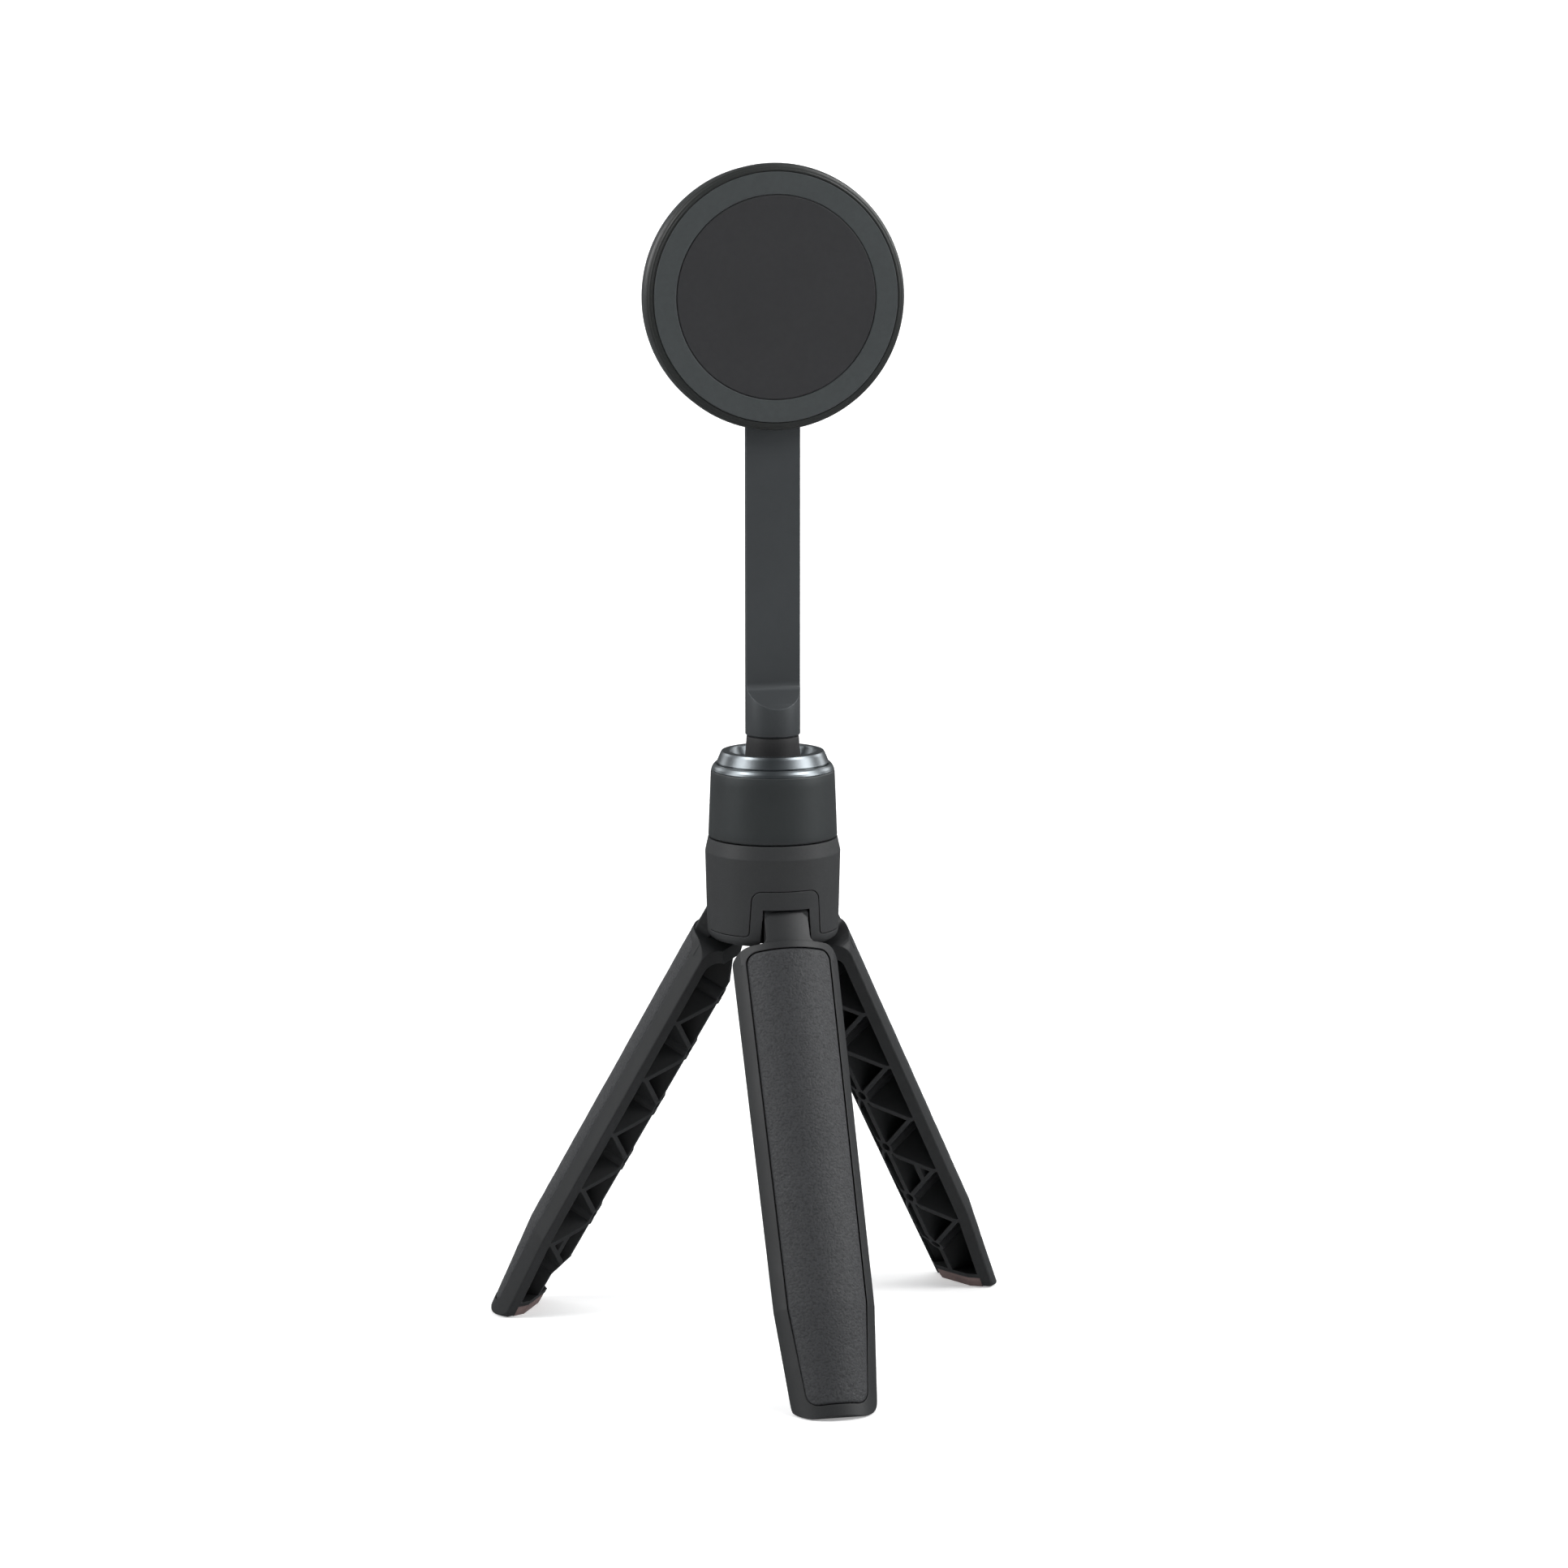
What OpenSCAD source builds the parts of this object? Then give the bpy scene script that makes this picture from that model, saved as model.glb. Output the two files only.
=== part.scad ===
// Folding table tripod with a lockable ball head, a swivelling arm and a round magnetic phone holder.
// Z is up and the feet stand on Z = 0. The front leg points to -Y.
// The origin is under the middle of the feet, and the column stands column_back behind it.

/* [Legs] */
// Angle between an open leg and the folded handle, in degrees
leg_open = 30; // [24:1:31]
// Distance from the column's axis to each leg's hinge
hinge_r = 11.6; // [11.4:0.1:11.8]
// Length of a leg from its hinge to its foot
leg_len = 117.7; // [110:0.1:125]
// Distance from the hinge to the leg's shoulders
leg_top = 7.5; // [7.5:0.1:8]
// Distance from the hinge to the bend in the leg's sides
leg_kink = 92.4; // [85:0.1:98]
// Half width of a leg at its shoulders
leg_half_top = 12.6; // [12.2:0.1:12.8]
// Half width of a leg at the bend
leg_half_kink = 11.8; // [11:0.1:12]
// Half width of a leg at its foot
leg_half_foot = 9.7; // [8.5:0.1:10.5]
// Thickness of the leg's curved outer wall
leg_wall = 2.5; // [2.2:0.1:3]
// Thickness of the leg's inner ribs
rib_w = 1.05; // [0.8:0.05:1.4]
// Distance between two rib nodes along a leg
rib_pitch = 16.25; // [14:0.25:18]
// Thickness of the leather pad on a leg
pad_t = 1.1; // [0.8:0.1:1.3]

/* [Hub] */
// Radius of the hub at its lower seam
hub_r = 15.35; // [15.2:0.05:15.5]
// Radius of the hub under its shoulder
hub_r_top = 15.8; // [15.6:0.05:16]
// Half width of a hinge slot at its top
slot_half = 5.45; // [5.45:0.05:5.8]
// Half width at the top of the inner frame's arch round a hinge slot
arch_half = 7.9; // [7.8:0.1:8.2]

/* [Ball head] */
// Radius of the ball
ball_r = 9.5; // [9.4:0.05:9.55]
// Radius of the lock barrel at its lower edge
barrel_r = 15.05; // [14.9:0.05:15.15]
// Radius of the trim ring's upper rim
rim_r = 11.9; // [11.6:0.1:12.1]
// Radius of the neck where it meets the arm
neck_r = 6.1; // [5.9:0.1:6.2]

/* [Arm] */
// Radius of the round arm
arm_r = 6.4; // [6.2:0.1:6.5]
// Distance from the arm's axis forward to its flat face
flat_y = 0.7; // [0.5:0.1:0.9]
// Length of the arm's round foot below the scoop
scoop_z = 6.6; // [6:0.1:8]
// Distance from the arm's lower edge to the phone holder's pivot
arm_len = 101.1; // [90:0.1:120]

/* [Phone holder] */
// Outer radius of the phone holder
head_r = 30.35; // [30:0.05:31]
// Outer radius of the ring over the magnets, a standard size
ring_r = 28.4; // [28.1:0.1:28.5]
// Radius of the front disc
disc_r = 23.15; // [22.5:0.05:23.3]
// Number of magnets in the ring
magnets = 18; // [12:1:18]

/* [Hidden] */

$fn = 96;
eps = 0.01;
far = 60;

// How far the column stands behind the middle of the feet
column_back = 15.1;
// The three legs stand a third of a turn apart
leg_turn = 120;
front = 0;
right = 1;
left = 2;

// Half the angle of a folded leg's wedge, and half the gap between two folded legs
wedge_half = 60;
fold_gap = 0.1;
// The leg's outer arc is centred a little in front of the column's axis
arc_v = 1.63;
// Where the wedge is cut off along its inner ridge
ridge_v = 1.45;
// The ridge steps back near the shoulders and near the foot
ridge_top_v = 4.9;
ridge_top_s = 16;
ridge_foot_v = 3.3;
ridge_foot_s = 97;
ridge_foot_run = 7;
shoulder_round = 3.6;
foot_round = 4.6;
edge_break = 0.15;

// The hinge's height follows from the leg's length and angle, so the soles reach the ground
foot_v = arc_v + arc_r(leg_half_foot);
end_lift = 1.3;
hinge_z = leg_len * cos(leg_open) - (foot_v - hinge_r) * sin(leg_open) + end_lift;

// Hinge tab and pin
tab_half = 5.1;
tab_r = 14.9;
tab_top = 0.35;
tab_back = 1.6;
tab_root = 4;
tab_round = 1.5;
knuckle_r = 2.85;
pin_r = 1.25;
pin_half = 7.3;
run_gap = 0.05;

// Hollow, rib and pad layout in a leg, measured down from the hinge
rim_inset = 2.5;
hollow_top = 10.8;
first_rim_node = 28.5;
rim_nodes = 5;
spine_shift = 0.53;
boss_r = 2.1;
boss_hole = 1.2;
boss_depth = 6;
spine_half = 0.75;
node_in = 0.8;
short_rib_in = 3;
short_rib_half = 2.6;
pad_side = 2.6;
pad_end_top = 1.6;
pad_end_foot = 2.6;
pad_groove = 0.25;
pad_lift = 0.05;
least_round_top = 2.4;
least_round_foot = 3;
foot_taper = 0.1;

// The foot's rubber sole under the leg's floor. Both reaches are measured from the column's axis.
sole_t = 2.5;
floor_t = 1.1;
frame_lift = 0.3;
sole_reach = 65.6;
sole_gap = 0.15;
plug_r = 0.9;
plug_h = 0.8;
plug_reach = 63.8;
plug_gap = 0.2;

// Heights in the hub and the ball head, measured up from the hinges
hub_bottom = hinge_z - 7.2;
hub_seam = hinge_z - 4.6;
hub_shoulder = hinge_z + 13.4;
hub_top = hinge_z + 16.6;
hub_round = 2.1;
slot_top = hinge_z + 1.8;
slot_roof = hinge_z + 3.4;
slot_back = 8.3;
slot_draft = 0.6;
slot_flare = 0.8;
lip_v = 14.2;
arch_top = hinge_z + 6.2;
arch_draft = 0.6;
arch_round = 2.4;
arch_flare = 1;
arch_near = 9;
seam_gap = 0.18;
shell_in = 13.85;
shell_gap = 0.1;
roof_t = 0.2;
pin_end_gap = 0.1;

// Bottom cover, and the screw above it
cover_r = 7;
cover_t = 1.3;
cover_gap = 0.08;
spanner_x = 4;
spanner_r = 0.7;
screw_seat = 5;
screw_head_r = 3.5;
screw_head_h = 2.4;
screw_r = 2;
screw_len = 15.5;
screw_gap = 0.1;
hex_r = 1.5;

socket_bottom = hinge_z + 9.7;
socket_top = hinge_z + 27.85;
socket_r = 12.2;
cup_floor = hinge_z + 16.8;
cup_r = 10.12;
ball_z = hinge_z + 27.3;
barrel_bottom = hinge_z + 16.8;
barrel_top = hinge_z + 32.4;
barrel_r_top = barrel_r - 0.6;
band_top = hinge_z + 33.95;
groove_top = hinge_z + 34.25;
rim_top = hinge_z + 36.8;
recess_r = 10.05;
recess_slope = 1.6;
arm_z = hinge_z + 40.6;
washer_t = 0.33;
spigot_r = 3;
spigot_h = 7;
clip_z = 5;
clip_t = 0.8;
clip_groove = 0.6;
ball_flat = 0.6;
ball_flat_r = 4;

// The phone holder's pivot, and depths in front of the column's axis
pivot_y = 1.9;
head_z = arm_z + arm_len;
face_d = 4.7;
bezel_d = 4.45;
seat_d = 3.85;
plate_t = 0.8;
back_d = -5.2;
wall_t = 1.6;
housing_in = head_r - wall_t - 0.4;
channel_half = 6.75;
channel_d = 1;
channel_up = 4.8;
channel_wall = 1.1;
magnet_t = 0.8;
magnet_gap = 1.2;
shield_d = 1.85;
shield_t = 0.35;
support_d = shield_d - 0.05;
support_r = 25.6;
support_t = 1.2;

// The bracket that carries the holder on its pivot pin, and its four screws
bracket_t = 0.8;
bracket_x = 15;
bracket_y = 11;
ear_t = 1.8;
ear_x = 8.05;
ear_r = 1.65;
ear_half = 4;
head_pin_r = 1;
washer_in = 5.4;
washer_out = channel_half - 0.05;
washer_r = 2.2;
small_screw_x = 12.4;
small_screw_y = 8.4;
small_screw_r = 0.95;
small_head_r = 1.7;
small_head_h = 0.7;
small_screw_len = 4.6;
small_boss_r = 2.2;

// ---------- outlines ----------

function unit(v) = v / norm(v);
function turned(a) = a > 180 ? a - 360 : (a < -180 ? a + 360 : a);

// Points of an arc of radius r that rounds the corner b between a and c
function corner_arc(a, b, c, r) = let(
    ua = unit(a - b),
    uc = unit(c - b),
    half = acos(ua * uc) / 2,
    centre = b + unit(ua + uc) * r / sin(half),
    from = b + ua * r / tan(half) - centre,
    to = b + uc * r / tan(half) - centre,
    start = atan2(from.y, from.x),
    sweep = turned(atan2(to.y, to.x) - start),
    steps = 8
) [for (i = [0 : steps]) centre + r * [cos(start + sweep * i / steps), sin(start + sweep * i / steps)]];

// A closed outline whose corners [x, y, radius] are rounded
function rounded(p) = [for (i = [0 : len(p) - 1]) let(
    n = len(p),
    a = p[(i + n - 1) % n],
    c = p[(i + 1) % n],
    b = p[i]
) each b.z > 0 ? corner_arc([a.x, a.y], [b.x, b.y], [c.x, c.y], b.z) : [[b.x, b.y]]];

// The same corners with X mirrored, in reverse order
function mirrored(p) = [for (i = [len(p) - 1 : -1 : 0]) [-p[i].x, p[i].y, p[i].z]];
function symmetric(p) = rounded(concat(p, mirrored(p)));

// Radius of the leg's outer arc where its half width is w
function arc_r(w) = norm([w, w / tan(wedge_half) - arc_v]);

// ---------- placing ----------

module on_column(z = 0) translate([0, column_back, z]) children();

// A leg is drawn folded, with Y = -distance from the axis and Z = 0 at the hinge
module at_hinge(turn) on_column(hinge_z) rotate(turn * leg_turn) children();
module opened(turn) at_hinge(turn)
    translate([0, -hinge_r, 0]) rotate([-leg_open, 0, 0]) translate([0, hinge_r, 0]) children();
module each_leg() for (turn = [front, right, left]) rotate(turn * leg_turn) children();

// The phone holder is drawn lying on its back and stood up, so its Z points forward
module at_head() on_column(head_z) rotate([90, 0, 0]) children();

// A shape seen from the front is extruded along Y between two distances from the axis
module along_front(near, reach) translate([0, -near, 0]) rotate([90, 0, 0])
    linear_extrude(reach - near) children();
// A shape drawn in Y and Z is extruded along X, to both sides
module along_side(half) rotate([90, 0, 90]) translate([0, 0, -half]) linear_extrude(2 * half) children();
module x_rod(r, half) rotate([0, 90, 0]) cylinder(r = r, h = 2 * half, center = true);
module tube(r_out, r_in, h) difference() {
    cylinder(r = r_out, h = h);
    translate([0, 0, -1]) cylinder(r = r_in, h = h + 2);
}

// ---------- legs ----------

// The round outside of a leg, made smaller by inset
module leg_round(inset = 0) translate([0, -arc_v, 0]) rotate_extrude() polygon([
    [0, -leg_top],
    [arc_r(leg_half_top) - inset, -leg_top],
    [arc_r(leg_half_kink) - inset, -leg_kink],
    [arc_r(leg_half_foot) - inset, -leg_len - 1],
    [0, -leg_len - 1]
]);

// The wedge between two neighbours of a folded leg
module leg_wedge(gap) translate([0, 0, -leg_len - 2]) linear_extrude(leg_len + 2 - leg_top) polygon([
    [0, -gap / sin(wedge_half)],
    [far * sin(wedge_half), -far * cos(wedge_half) - gap / sin(wedge_half)],
    [-far * sin(wedge_half), -far * cos(wedge_half) - gap / sin(wedge_half)]
]);

// Corners of the right half of the front outline, made smaller by side, top and foot
function leg_outline(side, top, foot) = let(less = max(side, 0)) [
    [leg_half_top - side, -leg_top - top, max(shoulder_round - less, least_round_top)],
    [leg_half_kink - side, -leg_kink, 0],
    [leg_half_foot - side - foot * foot_taper, -leg_len + foot, max(foot_round - less, least_round_foot)]
];

// The front outline with the hinge tab on top
module leg_front() polygon(symmetric(concat([
    [tab_half, -tab_top, 0],
    [tab_half, -leg_top, tab_round]
], leg_outline(edge_break, 0, 0))));

// The side outline steps the inner ridge back at both ends
module leg_side() polygon([
    [-ridge_top_v, -leg_top],
    [-ridge_v, -ridge_top_s],
    [-ridge_v, -ridge_foot_s],
    [-ridge_foot_v, -ridge_foot_s - ridge_foot_run],
    [-ridge_foot_v, -leg_len - 2],
    [-far, -leg_len - 2],
    [-far, -leg_top]
]);

// The whole leg as one filled shape
module leg_solid() intersection() {
    leg_round();
    leg_wedge(fold_gap);
    along_front(0, far) leg_front();
    along_side(far) leg_side();
}

module knuckle_tab() difference() {
    union() {
        translate([0, -hinge_r, 0]) x_rod(knuckle_r, tab_half);
        intersection() {
            cylinder(r = tab_r, h = 4 * leg_top, center = true);
            along_front(hinge_r - tab_back, far) intersection() {
                leg_front();
                translate([-far / 2, -leg_top - tab_root]) square([far, leg_top + tab_root]);
            }
        }
    }
    translate([0, -hinge_r, 0]) x_rod(pin_r + run_gap, far / 2);
}

// A straight rib between two points of the front view
module rib(from, to) translate(from) rotate(atan2(to.y - from.y, to.x - from.x))
    translate([0, -rib_w / 2]) square([norm(to - from), rib_w]);

// Half width of the leg at distance s from the hinge
function leg_half(s) = leg_half_top + (leg_half_kink - leg_half_top) * (s - leg_top) / (leg_kink - leg_top);
function rim_node(i) = let(s = first_rim_node + i * rib_pitch) [leg_half(s) - rim_inset - node_in, -s];
function spine_node(i) = [0, -first_rim_node - (i - spine_shift) * rib_pitch];

// Spine, bosses and zigzag ribs in the front view
module rib_pattern() {
    translate([-spine_half, -leg_len]) square([2 * spine_half, leg_len]);
    for (side = [0, 1]) mirror([side, 0]) for (i = [0 : rim_nodes - 1]) {
        rib(spine_node(i), rim_node(i));
        rib(rim_node(i), spine_node(i + 1));
        rib(rim_node(i), rim_node(i) + [rim_inset, 0]);
        translate(rim_node(i)) circle(r = rib_w / 2);
    }
    for (i = [0 : rim_nodes]) translate(spine_node(i)) circle(r = boss_r);
    // A short extra rib closes a small triangle, one node lower on one side than on the other
    for (side = [0, 1]) mirror([side, 0]) translate(rim_node(rim_nodes - 1 - side) - [short_rib_in, 0])
        rib([0, short_rib_half], [0, -short_rib_half]);
}

// The hollow inside a leg, open to both flat sides
module leg_hollow() difference() {
    intersection() {
        leg_round(leg_wall);
        along_front(0, far) polygon(symmetric([
            [leg_half_top - rim_inset, -hollow_top, 3],
            [leg_half_kink - rim_inset, -leg_kink, 0],
            [leg_half_foot - rim_inset, -leg_len, 0]
        ]));
    }
    along_front(0, far) rib_pattern();
}

module pad_outline(grow) polygon(symmetric(leg_outline(
    pad_side + grow, pad_end_top + grow, pad_end_foot + grow)));

module pad_layer(grow, inset) difference() {
    intersection() {
        leg_round(inset);
        along_front(0, far) pad_outline(grow);
    }
    leg_round(pad_t);
}

// Everything below height z, for cutting a foot parallel to the ground
module below(z) translate([-2 * far, -2 * far, z - far]) cube([4 * far, 4 * far, far]);

module foot_shape() intersection() {
    leg_round(leg_wall + sole_gap);
    leg_wedge(fold_gap + 0.3);
    along_side(far) leg_side();
}

// The inner part of an open foot, out to a distance from the column's axis, between two heights
module inner_foot(turn, reach, low, high) on_column(low) rotate(turn * leg_turn)
    translate([-far, -reach, 0]) cube([2 * far, reach, high - low]);

// The pocket for the sole stays inside the leg's outer wall
module sole_pocket(turn) intersection() {
    inner_foot(turn, sole_reach, -1, sole_t);
    opened(turn) leg_round(leg_wall);
}

module foot_plug(turn, r, top) opened_foot_centre(turn) cylinder(r = r, h = top);

// A point on the ground under the middle of a sole
module opened_foot_centre(turn) on_column() rotate(turn * leg_turn) translate([0, -plug_reach, 0]) children();

module leg_frame(turn) color("#4e4f50") difference() {
    union() {
        difference() {
            opened(turn) difference() {
                leg_solid();
                leg_hollow();
            }
            below(frame_lift);
        }
        // The foot's floor, with a raised seat above the sole
        intersection() {
            opened(turn) leg_solid();
            union() {
                inner_foot(turn, 2 * far, frame_lift, frame_lift + floor_t);
                inner_foot(turn, sole_reach + floor_t, frame_lift, sole_t + floor_t);
            }
        }
        opened(turn) knuckle_tab();
    }
    sole_pocket(turn);
    opened(turn) pad_layer(0, -1);
    opened(turn) boss_holes();
    foot_plug(turn, plug_r, sole_t + plug_h);
}

module boss_holes() for (i = [0 : rim_nodes])
    translate([0, 0, spine_node(i).y]) rotate([90, 0, 0]) cylinder(r = boss_hole, h = ridge_v + boss_depth);

module leg_pad(turn) color("#484a4b") opened(turn) pad_layer(pad_groove, pad_lift);

module leg_foot(turn) color("#6a6260") {
    intersection() {
        opened(turn) foot_shape();
        inner_foot(turn, sole_reach - sole_gap, 0, sole_t);
    }
    foot_plug(turn, plug_r, sole_t + plug_h - plug_gap);
}

module front_leg_frame() leg_frame(front);
module front_leg_pad() leg_pad(front);
module front_leg_foot() leg_foot(front);
module right_leg_frame() leg_frame(right);
module right_leg_pad() leg_pad(right);
module right_leg_foot() leg_foot(right);
module left_leg_frame() leg_frame(left);
module left_leg_pad() leg_pad(left);
module left_leg_foot() leg_foot(left);

// ---------- hub ----------

// Height profile of the hub's outside
module hub_round_body(bottom) rotate_extrude() polygon(rounded([
    [0, bottom, 0],
    [hub_r - 0.05, bottom, bottom < hub_seam ? hub_round : 0],
    [hub_r, hub_seam, 0],
    [hub_r_top, hub_shoulder, 0],
    [barrel_r + 0.05, hub_top, 0],
    [0, hub_top, 0]
]));

// The arch's foot flares outwards into the hub's lower seam
module arch(grow) along_front(arch_near, far) polygon(symmetric([
    [arch_half + arch_draft + grow + 2 * arch_flare, hub_bottom - 5, 0],
    [arch_half + arch_draft + grow + 2 * arch_flare, hub_seam + grow, 0],
    [arch_half + arch_draft + grow, hub_seam + grow, arch_flare - grow],
    [arch_half + grow, arch_top + grow, arch_round + grow]
]));

module hub_shell() color("#3f4041") on_column() difference() {
    intersection() {
        hub_round_body(hub_seam);
        translate([0, 0, hub_seam]) cylinder(r = far, h = far);
    }
    translate([0, 0, hub_seam - 1]) cylinder(r = shell_in, h = hub_top - roof_t - hub_seam);
    translate([0, 0, hub_seam]) cylinder(r = socket_r + shell_gap, h = far);
    each_leg() arch(0);
}

module hub_frame() color("#3b3c3d") on_column() difference() {
    union() {
        translate([0, 0, hub_seam - 1])
            cylinder(r = shell_in - shell_gap, h = hub_top - 2 * roof_t - hub_seam);
        intersection() {
            hub_round_body(hub_bottom);
            union() {
                cylinder(r = far, h = hub_seam - seam_gap);
                each_leg() arch(-seam_gap);
            }
        }
    }
    each_leg() hinge_slot();
    // Pocket for the ball socket
    translate([0, 0, socket_bottom]) cylinder(r = socket_r, h = far);
    // Recess for the bottom cover, and the screw's seat and hole
    translate([0, 0, hub_bottom - 1]) cylinder(r = cover_r, h = 1 + cover_t);
    translate([0, 0, hub_bottom]) cylinder(r = screw_head_r + 2 * screw_gap, h = screw_seat);
    cylinder(r = screw_r + screw_gap, h = socket_top);
}

module hinge_slot() {
    along_front(lip_v - shell_gap, far) slot_outline(slot_top);
    along_front(slot_back, lip_v) slot_outline(slot_roof);
    translate([0, -hinge_r, hinge_z]) x_rod(pin_r, pin_half + pin_end_gap);
}

// The slot widens downwards, and its lower corners flare out for the shoulders of a folded leg
module slot_outline(top) polygon(symmetric([
    [slot_half + slot_draft + slot_flare + 1, hub_bottom - 1, 0],
    [slot_half + slot_draft + slot_flare + 1, hub_bottom, 0],
    [slot_half + slot_draft, hub_bottom, slot_flare],
    [slot_half, top, 0]
]));

module bottom_cover() color("#363738") on_column(hub_bottom) difference() {
    cylinder(r = cover_r - cover_gap, h = cover_t);
    // Two small holes for a pin spanner
    for (side = [-1, 1]) translate([side * spanner_x, 0, -1]) cylinder(r = spanner_r, h = 1.8);
}

module hub_screw() color("silver") on_column(hub_bottom + screw_seat) difference() {
    union() {
        translate([0, 0, -screw_head_h]) cylinder(r = screw_head_r, h = screw_head_h);
        cylinder(r = screw_r, h = screw_len);
    }
    translate([0, 0, -screw_head_h - 1]) cylinder(r = hex_r, h = screw_head_h, $fn = 6);
}

module hinge_pins() color("silver") on_column(hinge_z) each_leg()
    translate([0, -hinge_r, 0]) x_rod(pin_r, pin_half);

// ---------- ball head ----------

module socket_body() color("#77797b") on_column() difference() {
    translate([0, 0, socket_bottom]) cylinder(r = socket_r, h = socket_top - socket_bottom);
    translate([0, 0, cup_floor]) cylinder(r = cup_r + 0.08, h = far);
    translate([0, 0, socket_bottom - 1]) cylinder(r = screw_r, h = 6);
}

module seat_ring() color("#2f3031") on_column() difference() {
    translate([0, 0, socket_top]) cylinder(r = socket_r, h = barrel_top - socket_top - 0.3);
    translate([0, 0, ball_z]) sphere(r = ball_r + run_gap);
    translate([0, 0, barrel_top - 0.3 - 0.9]) cylinder(r1 = ball_r - 1.1, r2 = ball_r + 0.1, h = 0.9 + eps);
}

module cup_spring() color("silver") on_column(cup_floor) tube(9.6, 5.2, 0.6);

module ball_cup() color("#d8d8d2") on_column() difference() {
    translate([0, 0, cup_floor + 0.65]) cylinder(r = cup_r, h = ball_z - cup_floor - 1.5);
    translate([0, 0, ball_z]) sphere(r = ball_r + run_gap);
    translate([0, 0, cup_floor]) cylinder(r = 4.4, h = 3);
}

module clamp_barrel() color("#34383b") on_column() rotate_extrude() polygon([
    [socket_r + 0.08, barrel_bottom],
    [barrel_r - 0.3, barrel_bottom],
    [barrel_r, barrel_bottom + 0.3],
    [barrel_r_top, barrel_top - 0.4],
    [barrel_r_top - 0.12, barrel_top],
    [recess_r + 0.9, barrel_top],
    [recess_r + 0.9, barrel_top - 0.2],
    [socket_r + 0.08, barrel_top - 0.2]
]);

module trim_ring() color("#6b6e71") on_column() rotate_extrude() polygon([
    [recess_r - recess_slope, barrel_top],
    [barrel_r_top - 0.15, barrel_top],
    [barrel_r_top - 0.12, barrel_top + 0.15],
    [barrel_r_top - 0.3, barrel_top + 0.65],
    [barrel_r_top - 0.62, barrel_top + 1.2],
    [barrel_r_top - 0.95, band_top],
    [barrel_r_top - 1.7, band_top],
    [barrel_r_top - 1.7, groove_top],
    [barrel_r_top - 1.4, groove_top],
    [rim_r + 0.3, rim_top - 0.5],
    [rim_r, rim_top],
    [rim_r - 0.35, rim_top + 0.1],
    [recess_r + 0.25, rim_top + 0.1],
    [recess_r, rim_top - 0.2]
]);

module ball_stud() color("#3c3d3e") on_column() difference() {
    union() {
        translate([0, 0, ball_z]) sphere(r = ball_r);
        translate([0, 0, ball_z + 5])
            cylinder(r1 = neck_r + 0.55, r2 = neck_r, h = arm_z - washer_t - ball_z - 5);
        translate([0, 0, arm_z - 1]) cylinder(r = spigot_r, h = spigot_h + 1);
    }
    translate([0, 0, arm_z + clip_z]) tube(spigot_r + 1, spigot_r - clip_groove, clip_t);
    translate([0, 0, ball_z - ball_r - 1]) cylinder(r = ball_flat_r, h = 1 + ball_flat);
}

module swivel_clip() color("silver") on_column(arm_z + clip_z + 0.05) difference() {
    tube(spigot_r + clip_groove - 0.1, spigot_r - clip_groove, clip_t - 0.1);
    translate([0, 0, -1]) linear_extrude(3) translate([0, -1]) square([far, 2]);
}

module swivel_washer() color("#202122") on_column(arm_z - washer_t + 0.02)
    tube(neck_r - 0.2, spigot_r + 0.1, washer_t - 0.02);

// ---------- arm ----------

// What is cut away in front of the arm's flat face, drawn in Y and Z above the arm's foot
module flat_cut() polygon(rounded([
    [-flat_y, scoop_z + 4.5, 2.6],
    [-flat_y, arm_len + 40, 0],
    [-far, arm_len + 40, 0],
    [-far, scoop_z - 4.5 * (far - arm_r) / (arm_r - flat_y), 0]
]));

// The arm's upper end is rounded so it can turn in the phone holder's channel
module arm_side() polygon(rounded([
    [-far, -1, 0],
    [far, -1, 0],
    [arm_r + 1, -1, 0],
    [arm_r, arm_len - 12, 0],
    [arm_r, arm_len + pivot_y + flat_y, 3],
    [-flat_y, arm_len + pivot_y + flat_y, pivot_y + flat_y - 0.05],
    [-flat_y, scoop_z + 12, 0],
    [-far, scoop_z + 12, 0]
]));

module arm_bar() color("#42464a") on_column(arm_z) difference() {
    intersection() {
        rotate_extrude() polygon([
            [0, 0],
            [arm_r - 0.25, 0],
            [arm_r, 0.25],
            [arm_r, arm_len + 20],
            [0, arm_len + 20]
        ]);
        along_side(far) arm_side();
    }
    along_side(far) flat_cut();
    translate([0, 0, -1]) cylinder(r = spigot_r + run_gap, h = spigot_h + 1.3);
    translate([0, 0, clip_z - 0.1]) cylinder(r = spigot_r + clip_groove, h = clip_t + 0.2);
    translate([0, pivot_y, arm_len]) x_rod(head_pin_r + run_gap, far / 2);
    for (side = [-1, 1]) translate([side * (washer_in + 5), pivot_y, arm_len]) x_rod(washer_r, 5);
}

module pivot_washers() color("#202122") on_column(head_z) for (side = [-1, 1])
    translate([side * (washer_in + washer_out) / 2, pivot_y, 0]) difference() {
        x_rod(washer_r - 0.02, (washer_out - washer_in) / 2);
        x_rod(head_pin_r + run_gap, washer_out);
    }

// ---------- phone holder ----------

// Everything in the holder is drawn with Z forward from the column's axis and Y up
module channel_cut() translate([-channel_half, -far, -far])
    cube([2 * channel_half, far + channel_up, far + channel_d]);

// Four places for the bracket's screws
module at_small_screws() for (x = [-1, 1], y = [-1, 1]) translate([x * small_screw_x, y * small_screw_y, 0])
    children();

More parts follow.
